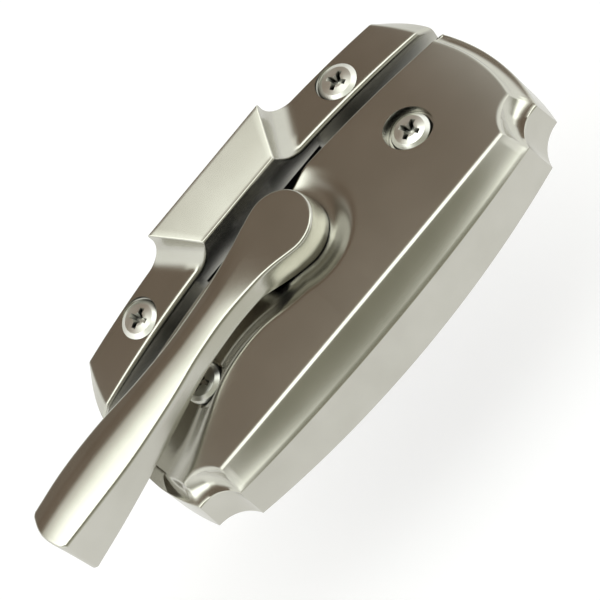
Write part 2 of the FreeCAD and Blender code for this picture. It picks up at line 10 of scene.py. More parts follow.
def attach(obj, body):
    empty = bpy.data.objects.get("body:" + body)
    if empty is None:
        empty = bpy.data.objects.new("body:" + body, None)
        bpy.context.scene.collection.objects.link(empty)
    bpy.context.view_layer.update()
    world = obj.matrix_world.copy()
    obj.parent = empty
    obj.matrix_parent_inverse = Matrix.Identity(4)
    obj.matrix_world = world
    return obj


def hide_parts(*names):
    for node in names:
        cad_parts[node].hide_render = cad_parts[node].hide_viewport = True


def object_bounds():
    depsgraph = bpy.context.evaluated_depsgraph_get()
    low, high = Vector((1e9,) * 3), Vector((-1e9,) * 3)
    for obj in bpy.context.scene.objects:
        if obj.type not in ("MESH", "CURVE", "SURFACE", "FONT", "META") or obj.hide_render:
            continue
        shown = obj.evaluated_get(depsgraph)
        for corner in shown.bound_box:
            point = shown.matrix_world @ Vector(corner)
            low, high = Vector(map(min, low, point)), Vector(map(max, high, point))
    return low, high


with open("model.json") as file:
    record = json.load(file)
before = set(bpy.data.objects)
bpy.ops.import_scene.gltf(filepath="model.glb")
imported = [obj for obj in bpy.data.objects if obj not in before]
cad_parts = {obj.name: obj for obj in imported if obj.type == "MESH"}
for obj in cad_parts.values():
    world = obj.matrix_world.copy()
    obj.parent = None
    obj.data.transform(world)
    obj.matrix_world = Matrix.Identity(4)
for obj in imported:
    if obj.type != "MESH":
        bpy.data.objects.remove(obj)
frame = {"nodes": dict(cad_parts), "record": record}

MM = 0.001
KEEPER_DROP = 30.0 * MM
CAD_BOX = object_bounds()
NODES = frame["nodes"]


# ---------------------------------------------------------------- materials

def new_material(name):
    mat = bpy.data.materials.new(name)
    mat.use_nodes = True
    mat.node_tree.nodes.clear()
    return mat


def add(tree, kind, **values):
    node = tree.nodes.new(kind)
    for key, value in values.items():
        if key in node.inputs:
            node.inputs[key].default_value = value
        else:
            setattr(node, key, value)
    return node


def metal(name, dark, light, rough_low, rough_high, painted_shade_reach=0.003):
    """Plated or plain metal: cloudy tone, satin grain, and painted shade that darkens the colour
    where it is closed in.
    """
    mat = new_material(name)
    tree = mat.node_tree
    out = add(tree, "ShaderNodeOutputMaterial")
    shader = add(tree, "ShaderNodeBsdfPrincipled")
    shader.inputs["Metallic"].default_value = 1.0
    coord = add(tree, "ShaderNodeTexCoord")
    clouds = add(tree, "ShaderNodeTexNoise")
    clouds.inputs["Scale"].default_value = 90.0
    clouds.inputs["Detail"].default_value = 5.0
    fine = add(tree, "ShaderNodeTexNoise")
    fine.inputs["Scale"].default_value = 9000.0
    fine.inputs["Detail"].default_value = 3.0
    tone = add(tree, "ShaderNodeValToRGB")
    tone.color_ramp.elements[0].position = 0.3
    tone.color_ramp.elements[0].color = (*dark, 1.0)
    tone.color_ramp.elements[1].position = 0.7
    tone.color_ramp.elements[1].color = (*light, 1.0)
    # Painted shade: ambient occlusion within the reach darkens the base colour toward near black
    # in gaps, crevices and under parts.
    painted_shade_ao = add(tree, "ShaderNodeAmbientOcclusion")
    painted_shade_ao.samples = 12
    painted_shade_ao.inputs["Distance"].default_value = painted_shade_reach
    painted_shade_ramp = add(tree, "ShaderNodeValToRGB")
    painted_shade_ramp.color_ramp.elements[0].position = 0.30
    painted_shade_ramp.color_ramp.elements[0].color = (0.01, 0.01, 0.008, 1.0)
    painted_shade_ramp.color_ramp.elements[1].position = 0.74
    painted_shade_ramp.color_ramp.elements[1].color = (1.0, 1.0, 1.0, 1.0)
    # Cloudy tone multiplied by the painted shade.
    shaded = add(tree, "ShaderNodeMix", data_type="RGBA", blend_type="MULTIPLY")
    shaded.inputs[0].default_value = 1.0
    rough = add(tree, "ShaderNodeMapRange")
    rough.inputs["To Min"].default_value = rough_low
    rough.inputs["To Max"].default_value = rough_high
    relief = add(tree, "ShaderNodeBump")
    relief.inputs["Strength"].default_value = 0.012
    relief.inputs["Distance"].default_value = 0.0001
    link = tree.links.new
    link(coord.outputs["Object"], clouds.inputs["Vector"])
    link(coord.outputs["Object"], fine.inputs["Vector"])
    link(clouds.outputs["Fac"], tone.inputs["Fac"])
    link(painted_shade_ao.outputs["AO"], painted_shade_ramp.inputs["Fac"])
    link(tone.outputs["Color"], shaded.inputs[6])
    link(painted_shade_ramp.outputs["Color"], shaded.inputs[7])
    link(shaded.outputs[2], shader.inputs["Base Color"])
    link(fine.outputs["Fac"], rough.inputs["Value"])
    link(rough.outputs["Result"], shader.inputs["Roughness"])
    link(fine.outputs["Fac"], relief.inputs["Height"])
    link(relief.outputs["Normal"], shader.inputs["Normal"])
    link(shader.outputs["BSDF"], out.inputs["Surface"])
    return mat


def plastic(name, dark, light):
    mat = new_material(name)
    tree = mat.node_tree
    out = add(tree, "ShaderNodeOutputMaterial")
    shader = add(tree, "ShaderNodeBsdfPrincipled")
    coord = add(tree, "ShaderNodeTexCoord")
    clouds = add(tree, "ShaderNodeTexNoise")
    clouds.inputs["Scale"].default_value = 400.0
    clouds.inputs["Detail"].default_value = 4.0
    tone = add(tree, "ShaderNodeValToRGB")
    tone.color_ramp.elements[0].color = (*dark, 1.0)
    tone.color_ramp.elements[1].color = (*light, 1.0)
    rough = add(tree, "ShaderNodeMapRange")
    rough.inputs["To Min"].default_value = 0.38
    rough.inputs["To Max"].default_value = 0.52
    link = tree.links.new
    link(coord.outputs["Object"], clouds.inputs["Vector"])
    link(clouds.outputs["Fac"], tone.inputs["Fac"])
    link(clouds.outputs["Fac"], rough.inputs["Value"])
    link(tone.outputs["Color"], shader.inputs["Base Color"])
    link(rough.outputs["Result"], shader.inputs["Roughness"])
    link(shader.outputs["BSDF"], out.inputs["Surface"])
    return mat


# The three satin copies share one colour and differ only in how far the painted shade reaches: far
# on the keeper, shorter on housing and lever, faint in the screw pockets.
SATIN = metal("satin_nickel", (0.49, 0.48, 0.43), (0.55, 0.54, 0.49), 0.20, 0.26, 0.009)
SATIN_SHORT_SHADE = metal("satin_nickel_short_painted_shade", (0.49, 0.48, 0.43), (0.55, 0.54, 0.49), 0.20, 0.26, 0.0024)
SATIN_FAINT_SHADE = metal("satin_nickel_faint_painted_shade", (0.49, 0.48, 0.43), (0.55, 0.54, 0.49), 0.20, 0.26, 0.0004)
SCREW = metal("bright_nickel", (0.78, 0.78, 0.73), (0.86, 0.86, 0.81), 0.28, 0.36, 0.0012)
CAM = metal("cam_steel", (0.36, 0.355, 0.34), (0.46, 0.45, 0.43), 0.32, 0.46)
ZINC = metal("zinc_plate", (0.50, 0.51, 0.53), (0.62, 0.63, 0.64), 0.28, 0.42)
PIN = metal("plain_steel", (0.42, 0.42, 0.43), (0.54, 0.54, 0.55), 0.28, 0.40)
SPRING = metal("blued_spring", (0.14, 0.15, 0.19), (0.22, 0.23, 0.28), 0.24, 0.34)
ACETAL = plastic("acetal", (0.022, 0.022, 0.024), (0.04, 0.04, 0.042))

FINISH = {
    "satin_nickel": SATIN,
    "nickel_screw": SCREW,
    "cam_steel": CAM,
    "zinc_plate": ZINC,
    "steel_pin": PIN,
    "spring_steel": SPRING,
    "acetal": ACETAL,
}


def dress_cad_nodes():
    slots = {s["node"]: s["material_slot"] for s in frame["record"]["subparts"]}
    for name, obj in NODES.items():
        for material_slot in obj.material_slots:
            material_slot.material = FINISH[slots[name]]


# ---------------------------------------------------------------- outline helpers

CROWN_TOP = 12.71
CROWN_R = 173.0
INNER_Y = 10.8
PIVOT = (1.2, 4.2)


def crown(x, top=CROWN_TOP, radius=CROWN_R):
    return top - radius + np.sqrt(radius * radius - np.asarray(x, dtype=float) ** 2)


def smooth(t):
    t = np.clip(t, 0.0, 1.0)
    return t * t * (3.0 - 2.0 * t)


def arc_points(p, q, r, count):
    """Points along the circle through three points, ends included."""
    p, q, r = (np.array(v, dtype=float) for v in (p, q, r))
    a, b = q - p, r - p
    n = np.cross(a, b)
    n2 = n.dot(n)
    centre = p + (np.cross(n, a) * b.dot(b) + np.cross(b, n) * a.dot(a)) / (2.0 * n2)
    radius = np.linalg.norm(p - centre)
    u = (p - centre) / radius
    axis = n / math.sqrt(n2)
    w = np.cross(axis, u)

    def turn(v):
        d = v - centre
        return math.atan2(d.dot(w), d.dot(u)) % (2.0 * math.pi)

    angles = np.linspace(0.0, turn(r), count)
    return centre + radius * (np.outer(np.cos(angles), u) + np.outer(np.sin(angles), w))


def flip(points):
    """The same curve on the other side, run the other way."""
    points = np.array(points, dtype=float)[::-1].copy()
    points[:, 0] *= -1.0
    return points


def chain(*runs):
    """Runs joined end to end, the shared points kept once."""
    return np.vstack([runs[0]] + [run[1:] for run in runs[1:]])


def bezier(a, b, c, t):
    return (1 - t) ** 2 * a + 2 * t * (1 - t) * b + t * t * c


def spline(points, count):
    """Even samples of a smooth curve through the points."""
    p = np.array(points, dtype=float)
    p = np.vstack([2.0 * p[0] - p[1], p, 2.0 * p[-1] - p[-2]])
    dense = []
    for i in range(1, len(p) - 2):
        for t in np.linspace(0.0, 1.0, 24, endpoint=False):
            t2, t3 = t * t, t * t * t
            dense.append(0.5 * (2.0 * p[i] + (p[i + 1] - p[i - 1]) * t
                                + (2.0 * p[i - 1] - 5.0 * p[i] + 4.0 * p[i + 1] - p[i + 2]) * t2
                                + (3.0 * p[i] - p[i - 1] - 3.0 * p[i + 1] + p[i + 2]) * t3))
    dense.append(p[-2])
    dense = np.array(dense)
    run = np.concatenate([[0.0], np.cumsum(np.linalg.norm(np.diff(dense, axis=0), axis=1))])
    want = np.linspace(0.0, run[-1], count)
    return np.column_stack([np.interp(want, run, dense[:, k]) for k in range(2)])


def closed_patch(top_grid, rings, under=None):
    """Grid of a top surface, rings round it and a cap or grid below, as one closed mesh."""
    rows, cols = top_grid.shape[:2]
    verts = [tuple(p) for p in top_grid.reshape(-1, 3)]
    faces = grid_faces(rows, cols, 0)
    last = border_index(rows, cols)
    count = len(last)
    for ring in rings:
        start = len(verts)
        verts.extend(tuple(p) for p in ring)
        now = list(range(start, start + count))
        for k in range(count):
            m = (k + 1) % count
            faces.append((last[m], last[k], now[k], now[m]))
        last = now
    if under is None:
        faces.append(tuple(last))
    else:
        faces += [face[::-1] for face in grid_faces(rows, cols, len(verts))]
        verts.extend(tuple(p) for p in under.reshape(-1, 3))
    return verts, faces


def smooth_along(values, width):
    """Moving average round a closed run of values."""
    kernel = np.ones(2 * width + 1) / (2 * width + 1)
    padded = np.concatenate([values[-width:], values, values[:width]])
    return np.convolve(padded, kernel, mode="valid")


def coons(border, cols, rows):
    """Transfinite patch inside a closed border given in grid order."""
    top = border[:cols]
    far = border[cols - 1:cols + rows - 1]
    low = border[cols + rows - 2:2 * cols + rows - 2][::-1]
    near = np.vstack([border[2 * cols + rows - 3:], border[:1]])[::-1]
    u = np.linspace(0.0, 1.0, cols)[None, :, None]
    v = np.linspace(0.0, 1.0, rows)[:, None, None]
    along = (1 - v) * top[None] + v * low[None]
    across = (1 - u) * near[:, None] + u * far[:, None]
    corner = ((1 - u) * (1 - v) * top[0] + u * (1 - v) * top[-1]
              + (1 - u) * v * low[0] + u * v * low[-1])
    return along + across - corner


def grid_faces(rows, cols, first):
    corners = [first + i * cols + j for i in range(rows - 1) for j in range(cols - 1)]
    return [(a, a + 1, a + cols + 1, a + cols) for a in corners]


def border_index(rows, cols):
    """Border of a grid, once round: first row, last column, last row, first column."""
    order = list(range(cols))
    order += [i * cols + cols - 1 for i in range(1, rows)]
    order += [(rows - 1) * cols + j for j in range(cols - 2, -1, -1)]
    return order + [i * cols for i in range(rows - 2, 0, -1)]


def border_of(grid):
    """Border points of a grid in the order that closed_patch uses."""
    return np.vstack([grid[0, :], grid[1:, -1], grid[-1, -2::-1], grid[-2:0:-1, 0]])


def make_object(name, verts, faces):
    mesh = bpy.data.meshes.new(name)
    mesh.from_pydata([(x * MM, y * MM, z * MM) for x, y, z in verts], [], faces)
    mesh.validate()
    obj = bpy.data.objects.new(name, mesh)
    bpy.context.collection.objects.link(obj)
    clean = bmesh.new()
    clean.from_mesh(mesh)
    bmesh.ops.remove_doubles(clean, verts=clean.verts, dist=1e-7)
    bmesh.ops.recalc_face_normals(clean, faces=clean.faces)
    clean.to_mesh(mesh)
    clean.free()
    return obj


def shade(obj, degrees=32.0):
    """Smooth shading, with creases where faces meet at more than the angle."""
    mesh = obj.data
    for poly in mesh.polygons:
        poly.use_smooth = True
    work = bmesh.new()
    work.from_mesh(mesh)
    limit = math.radians(degrees)
    for edge in work.edges:
        if len(edge.link_faces) == 2:
            edge.smooth = edge.calc_face_angle(0.0) < limit
    work.to_mesh(mesh)
    work.free()


def cut_like_cad(obj, node):
    """Keeps only what lies inside the CAD solid too: its bores, pockets and slots."""
    source = NODES[node]
    twin = bpy.data.objects.new(node + "_twin", source.data.copy())
    bpy.context.collection.objects.link(twin)
    weld = bmesh.new()
    weld.from_mesh(twin.data)
    bmesh.ops.remove_doubles(weld, verts=weld.verts, dist=2e-7)
    weld.to_mesh(twin.data)
    weld.free()
    both = obj.modifiers.new("both", "BOOLEAN")
    both.operation = "INTERSECT"
    both.solver = "EXACT"
    both.use_self = True
    both.object = twin
    depsgraph = bpy.context.evaluated_depsgraph_get()
    result = bpy.data.meshes.new_from_object(obj.evaluated_get(depsgraph))
    obj.modifiers.clear()
    obj.data = result
    bpy.data.objects.remove(twin)


SCREW_X, POCKET_R = 28.575, 4.62


def finish_piece(obj, body, node, finish):
    """Finish, slot and body; the two screw pockets get a copy of the finish with faint painted
    shade, so they read brighter.
    """
    obj.data.materials.clear()
    obj.data.materials.append(finish)
    obj.data.materials.append(SATIN_FAINT_SHADE)
    for poly in obj.data.polygons:
        x, y = poly.center[0] / MM, poly.center[1] / MM
        # Screw pockets take the copy with faint painted shade.
        pocket = node == "lock_housing" and math.hypot(abs(x) - SCREW_X, y) < POCKET_R
        poly.material_index = 1 if pocket else 0
    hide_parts(node)
    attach(obj, body)


# ---------------------------------------------------------------- lock housing

SKIN_INSET = 0.03
SKIN_Y = INNER_Y - SKIN_INSET

# Scalloped corner: first end, middle and second end of its arc at the top, rim and base
T1, TN, T2 = (43.7, -9.3, 0.0), (39.9, -10.9, 0.0), (37.1, -14.5, 0.0)
R1, RN, R2 = (44.87, -14.5, 5.5), (40.37, -16.0, 6.0), (37.87, -19.3, 6.3)
B1, BN, B2 = (45.7, -16.4, 0.0), (41.3, -18.0, 0.0), (38.6, -21.5, 0.0)

# Half length of the inner edge at the top, rim and base
END_TOP_X, END_RIM_X, END_BASE_X = 44.7, 47.2, 47.6
INNER_LOW_Z = 6.0

# Recess under the lever: round seat at the hub, trough along the grip, rim behind
SEAT_OUT_R, SEAT_FLAT_R, SEAT_FLOOR = 13.4, 8.35, 10.66
TROUGH_DEPTH = 2.04
RIM_Y, RIM_SOFT = 9.72, 0.5
CROWN_REACH = 60.0

# x, y of the trough's lip and y of its outer edge
TROUGH = np.array([
    (-60.0, -3.6, -10.9),
    (-44.0, -3.2, -10.2),
    (-38.0, -2.7, -9.1),
    (-32.0, -1.6, -7.0),
    (-26.0, -0.6, -5.0),
    (-20.0, -0.2, -4.6),
    (-14.0, -0.8, -5.3),
    (-8.0, -2.2, -7.2),
    (-2.0, -3.4, -8.2),
    (8.0, -4.0, -9.0),
])
LIP = spline(TROUGH[:, :2], 300)
OUTER = spline(TROUGH[:, [0, 2]], 300)


def plain_top(x):
    return crown(np.clip(x, -CROWN_REACH, CROWN_REACH))


def recess_depth(x, y):
    """How far the top is sunk under the lever: a cove down to a flat floor."""
    reach = np.hypot(x - PIVOT[0], y - PIVOT[1])
    seat = (SEAT_OUT_R - reach) / (SEAT_OUT_R - SEAT_FLAT_R)
    lip = np.interp(x, LIP[:, 0], LIP[:, 1])
    outer = np.interp(x, OUTER[:, 0], OUTER[:, 1])
    trough = (y - outer) / (lip - outer)
    trough = np.where(x < 0.0, trough, trough - x * 0.6)
    slope = smooth(np.maximum(seat, trough))
    rim = 1.0 - smooth((y - RIM_Y) / RIM_SOFT)
    inside_seat = smooth(seat)
    slope = np.maximum(slope * rim, inside_seat)
    plain = plain_top(x)
    floor = np.where(x < 0.0, plain - TROUGH_DEPTH, SEAT_FLOOR)
    floor = SEAT_FLOOR + (floor - SEAT_FLOOR) * smooth((-x - 4.0) / 8.0)
    return slope * np.maximum(plain - floor, 0.0)


def top_z(x, y):
    return plain_top(x) - SKIN_INSET - recess_depth(x, y)


def housing_skin():
    """Crowned top, soft edges, hollow bevel band, scalloped corners and end coves."""
    n_notch, n_outer, n_end = 26, 200, 90
    notch_t = arc_points(T1, TN, T2, n_notch)
    notch_r = arc_points(R1, RN, R2, n_notch)
    notch_b = arc_points(B1, BN, B2, n_notch)
    outer_t = arc_points(T2, (0.0, -17.4, 0.0), (-T2[0], T2[1], 0.0), n_outer)
    outer_r = arc_points(R2, (0.0, -23.3, 9.8), (-R2[0], R2[1], R2[2]), n_outer)
    outer_b = arc_points(B2, (0.0, -25.2, 0.0), (-B2[0], B2[1], 0.0), n_outer)
    end_t = arc_points((END_TOP_X, SKIN_Y, 0.0), (45.9, 1.5, 0.0), T1, n_end)
    end_r = arc_points((END_RIM_X, SKIN_Y, 5.9), (48.3, -1.0, 5.5), R1, n_end)
    end_b = arc_points((END_BASE_X, SKIN_Y, 0.0), (48.8, -1.0, 0.0), B1, n_end)
    top = chain(notch_t, outer_t, flip(notch_t))
    rim = chain(notch_r, outer_r, flip(notch_r))
    base = chain(notch_b, outer_b, flip(notch_b))
    cols = len(top)
    inner_x = np.linspace(END_TOP_X, -END_TOP_X, cols)

    def ring_of(outer, end, inner):
        """Border order: outer side from +X to -X, far end, inner side back, near end."""
        far = flip(end)
        return np.vstack([outer, far[1:], inner[::-1][1:], end[1:-1]])

    inner_t = np.column_stack([inner_x, np.full(cols, SKIN_Y), np.zeros(cols)])
    edge = ring_of(top, end_t, inner_t)
    edge[:, 2] = top_z(edge[:, 0], edge[:, 1])
    inner_low = inner_t.copy()
    inner_low[:, 2] = INNER_LOW_Z + 0.12 * (crown(inner_x) - INNER_LOW_Z)
    inner_low[:, 0] *= END_RIM_X / END_TOP_X
    inner_base = inner_t.copy()
    inner_base[:, 0] *= END_BASE_X / END_TOP_X
    shoulder = ring_of(rim, end_r, inner_low)
    foot = ring_of(base, end_b, inner_base)

    inner_mask = np.zeros(len(edge), dtype=bool)
    inner_mask[cols + n_end - 1:2 * cols + n_end - 3] = True
    out_xy = shoulder - edge
    out_xy[:, 2] = 0.0
    out_xy[inner_mask] = (0.0, 1.0, 0.0)
    out_dir = out_xy / np.linalg.norm(out_xy, axis=1)[:, None]
    shoulder = shoulder - out_dir * SKIN_INSET
    shoulder[:, 2] -= SKIN_INSET

    # Width of the top's softened edge: inner side, ends and outer side
    soft = np.where(inner_mask, 0.4, 0.3)
    soft[:cols] = 0.5
    soft = smooth_along(soft, 9)
    start = edge - out_dir * soft[:, None]
    start[:, 2] = top_z(start[:, 0], start[:, 1])
    down = shoulder - edge
    down_len = np.linalg.norm(down, axis=1)
    down_dir = down / down_len[:, None]
    past = edge + down_dir * np.minimum(soft, 0.4 * down_len)[:, None]

    grid = coons(start, cols, n_end)
    grid[:, :, 2] = top_z(grid[:, :, 0], grid[:, :, 1])

    rings = []
    for t in np.linspace(0.0, 1.0, 7)[1:]:
        rings.append(bezier(start, edge, past, t))
    # How deep the bevel band is hollowed: inner side, outer side, ends and corners
    hollow = np.where(inner_mask, 0.0, 0.12)
    hollow[-(n_end - 2):] = 0.3
    hollow[cols:cols + n_end - 2] = 0.3
    notch_span = n_notch - 4
    hollow[3:notch_span] = 0.9
    hollow[cols - notch_span:cols - 3] = 0.9
    hollow = smooth_along(hollow, 7)
    inward = -out_dir * 0.5
    inward[:, 2] = -0.85
    rim_soft = np.minimum(0.22, 0.2 * down_len)
    before = shoulder - down_dir * rim_soft[:, None]
    wall = foot - shoulder
    wall_dir = wall / np.linalg.norm(wall, axis=1)[:, None]
    after = shoulder + wall_dir * rim_soft[:, None]
    for t in np.linspace(0.0, 1.0, 9)[1:]:
        level = past + (before - past) * t
        sag = 4.0 * t * (1.0 - t)
        rings.append(level + inward * (hollow * sag)[:, None])
    for t in np.linspace(0.0, 1.0, 5)[1:]:
        rings.append(bezier(before, shoulder, after, t))
    low = foot.copy()
    low[:, :2] -= out_dir[:, :2] * SKIN_INSET
    for t in np.linspace(0.0, 1.0, 6)[1:]:
        rings.append(after + (low - after) * t)
    bottom = low.copy()
    bottom[:, 2] = -0.5
    rings.append(bottom)
    verts, faces = closed_patch(grid, rings)
    obj = make_object("housing_skin", verts, faces)
    cut_like_cad(obj, "lock_housing")
    shade(obj)
    return obj


# ---------------------------------------------------------------- keeper

GAP = 0.03
KEEPER_Y0, KEEPER_Y1, KEEPER_DEPTH = 15.0, 24.9, 9.9
KEEP_IN, KEEP_OUT = KEEPER_Y0 + GAP, KEEPER_Y1 - GAP
KEEP_TOP, KEEP_R = 11.4, 195.0

# Hood: half width and height at the front, and what each gains towards the back
HOOD_HALF, HOOD_FLARE = 10.6, 6.0
HOOD_Z, HOOD_RISE = 15.0, 1.8
COVE_R = 5.5
COVE_A = COVE_R * math.hypot(HOOD_FLARE, KEEPER_DEPTH) / KEEPER_DEPTH + GAP
COVE_LEVEL = 16.0675


def keep_crown(x):
    return crown(x, KEEP_TOP - GAP, KEEP_R)


def hood_top(y):
    return HOOD_Z + HOOD_RISE * (y - KEEPER_Y0) / KEEPER_DEPTH - GAP


def bowed(front, taper, bow, share):
    return front - taper * share + bow * share * (1.0 - share)


def keeper_profile(y):
    """Half section at y from the middle out: hood, cove, wing, bevelled end."""
    share = (y - KEEPER_Y0) / KEEPER_DEPTH
    centre = HOOD_HALF + HOOD_FLARE * share + COVE_R
    level = min(COVE_LEVEL, float(crown(centre, KEEP_TOP, KEEP_R)) + COVE_R)
    top = hood_top(y)
    soft = 0.35
    wall_z = top - soft

    def cove_x(z):
        drop = np.clip((level - z) / (COVE_R + GAP), 0.0, 1.0)
        return centre - COVE_A * math.sqrt(1.0 - drop * drop)

    points = [(x, top) for x in np.linspace(0.0, cove_x(top) - soft, 10)]
    a = np.array(points[-1])
    b = np.array((cove_x(top), top))
    c = np.array((cove_x(wall_z), wall_z))
    points += [tuple(bezier(a, b, c, t)) for t in np.linspace(0.0, 1.0, 7)[1:]]
    first = math.asin(min(max((level - wall_z) / (COVE_R + GAP), 0.0), 1.0))
    for angle in np.linspace(first, math.pi / 2.0, 23)[1:]:
        x = centre - COVE_A * math.cos(angle)
        z = level - (COVE_R + GAP) * math.sin(angle)
        points.append((x, max(z, float(keep_crown(x)))))
    end_x = bowed(45.0, 3.5, 1.2, share) - GAP
    base_x = bowed(47.6, 5.2, 3.2, share) - GAP
    for x in np.linspace(centre, end_x - 0.45, 22)[1:]:
        points.append((x, float(keep_crown(x))))
    edge = np.array((end_x, float(keep_crown(end_x))))
    shoulder = np.array((base_x, float(crown(base_x, KEEP_TOP, KEEP_R)) - 1.2 - GAP))
    down = (shoulder - edge) / np.linalg.norm(shoulder - edge)
    past = edge + down * 0.45
    last = np.array(points[-1])
    points += [tuple(bezier(last, edge, past, t)) for t in np.linspace(0.0, 1.0, 6)[1:]]
    before = shoulder - down * 0.3
    points.append(tuple((past + before) / 2.0))
    after = shoulder - np.array((0.0, 0.3))
    points += [tuple(bezier(before, shoulder, after, t)) for t in np.linspace(0.0, 1.0, 5)]
    return np.array(points)


def keeper_skin():
    """Crowned strap with a coved hood, its edges softened."""
    table_y = np.linspace(14.9, 25.0, 61)
    table = np.array([keeper_profile(y) for y in table_y])
    half = table.shape[1]

    def at(y):
        """x and z of every column, each at its own y."""
        x = np.array([np.interp(y[k], table_y, table[:, k, 0]) for k in range(half)])
        z = np.array([np.interp(y[k], table_y, table[:, k, 1]) for k in range(half)])
        return x, z

    height = at(np.full(half, 16.0))[1]
    soft = np.interp(height, (11.6, 14.6), (1.05, 0.45))
    start_y = KEEP_IN + soft
    height = at(start_y)[1]
    rows = []
    inner = np.full(half, KEEP_IN)
    a = np.column_stack([inner, height - soft])
    b = np.column_stack([inner, height])
    c = np.column_stack([start_y, height])
    front = [bezier(a, b, c, t) for t in np.linspace(0.0, 1.0, 9)]
    for level in front:
        x = at(level[:, 0])[0]
        rows.append(np.column_stack([x, level]))
    for share in np.linspace(0.0, 1.0, 20)[1:]:
        y = start_y + (KEEP_OUT - 0.25 - start_y) * share
        x, z = at(y)
        rows.append(np.column_stack([x, y, z]))
    x, z = at(np.full(half, KEEP_OUT))
    a = rows[-1]
    b = np.column_stack([x, np.full(half, KEEP_OUT), z])
    c = b - (0.0, 0.0, 0.25)
    rows += [bezier(a, b, c, t) for t in np.linspace(0.0, 1.0, 5)[1:]]
    right = np.array(rows)
    left = right[:, :0:-1].copy()
    left[:, :, 0] *= -1.0
    grid = np.concatenate([left, right], axis=1)
    bottom = border_of(grid)
    bottom[:, 2] = -0.5
    verts, faces = closed_patch(grid, [bottom])
    obj = make_object("keeper_skin", verts, faces)
    cut_like_cad(obj, "keeper")
    shade(obj)
    return obj


# ---------------------------------------------------------------- lever

def hub_point(radius, degrees):
    turn = math.radians(degrees)
    return PIVOT[0] + radius * math.cos(turn), PIVOT[1] + radius * math.sin(turn)


def lever_outline(hub_r, right, left, tip, count, ends):
    """Plan outline in border order: right side to the tip, tip, left side back, hub end."""
    right_side = [hub_point(hub_r, a) for a in (-45.0, -60.0, -75.0, -90.0, -105.0)] + right
    left_side = left + [hub_point(hub_r, a) for a in (105.0, 90.0, 75.0, 60.0, 45.0)]
    side = spline(right_side, count)
    back = spline(left_side, count)
    tip_run = spline([right[-1]] + tip + [left[0]], ends)
    hub_run = np.array([hub_point(hub_r, a) for a in np.linspace(45.0, -45.0, ends)])
    return np.vstack([side, tip_run[1:], back[1:], hub_run[1:-1]])


LEVER_TOP = 16.0
HUB_TOP_R, HUB_FOOT_R = 6.6, 7.55
SHANK_R, SHANK_SIDES, SHANK_Z = 4.2, 48, (1.0, 11.2)

# Where the crest line runs along the grip, and how high the underside is
CREST_X = (-66.0, -60.0, -50.0, -36.0, -26.0, -16.0, -8.0)
CREST_Y = (1.2, 2.2, 3.1, 3.4, 3.7, 4.6, 5.8)
UNDER_X = (-66.0, -56.0, -46.0, -36.0, -30.0, -24.0, -18.0)
UNDER_Z = (7.1, 8.5, 10.0, 11.5, 12.4, 12.9, 13.05)


def crest_z(x, y):
    """Top of the lever: flat on the hub, then crested along the grip."""
    away = y - np.interp(x, CREST_X, CREST_Y)
    fall_left = 0.16 * np.maximum(away, 0.0)
    right = np.maximum(-away, 0.0)
    fall_right = 0.08 * right + 0.012 * right * right
    blur = 0.08 * np.exp(-(away / 0.5) ** 2)
    weight = smooth((-x - 3.0) / 15.0)
    return LEVER_TOP + weight * (0.2 - fall_left - fall_right - blur)


def under_z(x, y):
    """Underside: low on the hub, arched over the recess, dropping along the grip."""
    reach = np.hypot(x - PIVOT[0], y - PIVOT[1])
    near = 10.75 + 2.3 * smooth((reach - 7.7) / 5.6)
    return np.where(x < UNDER_X[-1], np.interp(x, UNDER_X, UNDER_Z), near)


def shank_cover():
    """Round shank below the hub, its bore cut as in the CAD."""
    n = SHANK_SIDES
    turns = np.linspace(0, 2 * math.pi, n + 1)[:-1]
    tube = [(SHANK_R * math.cos(a) + PIVOT[0], SHANK_R * math.sin(a) + PIVOT[1]) for a in turns]
    verts = [(x, y, z) for z in SHANK_Z for x, y in tube]
    walls = [(k, (k + 1) % n, n + (k + 1) % n, n + k) for k in range(n)]
    shank = make_object("shank", verts, walls + [tuple(range(n)), tuple(range(n, 2 * n))])
    cut_like_cad(shank, "lever")
    return shank


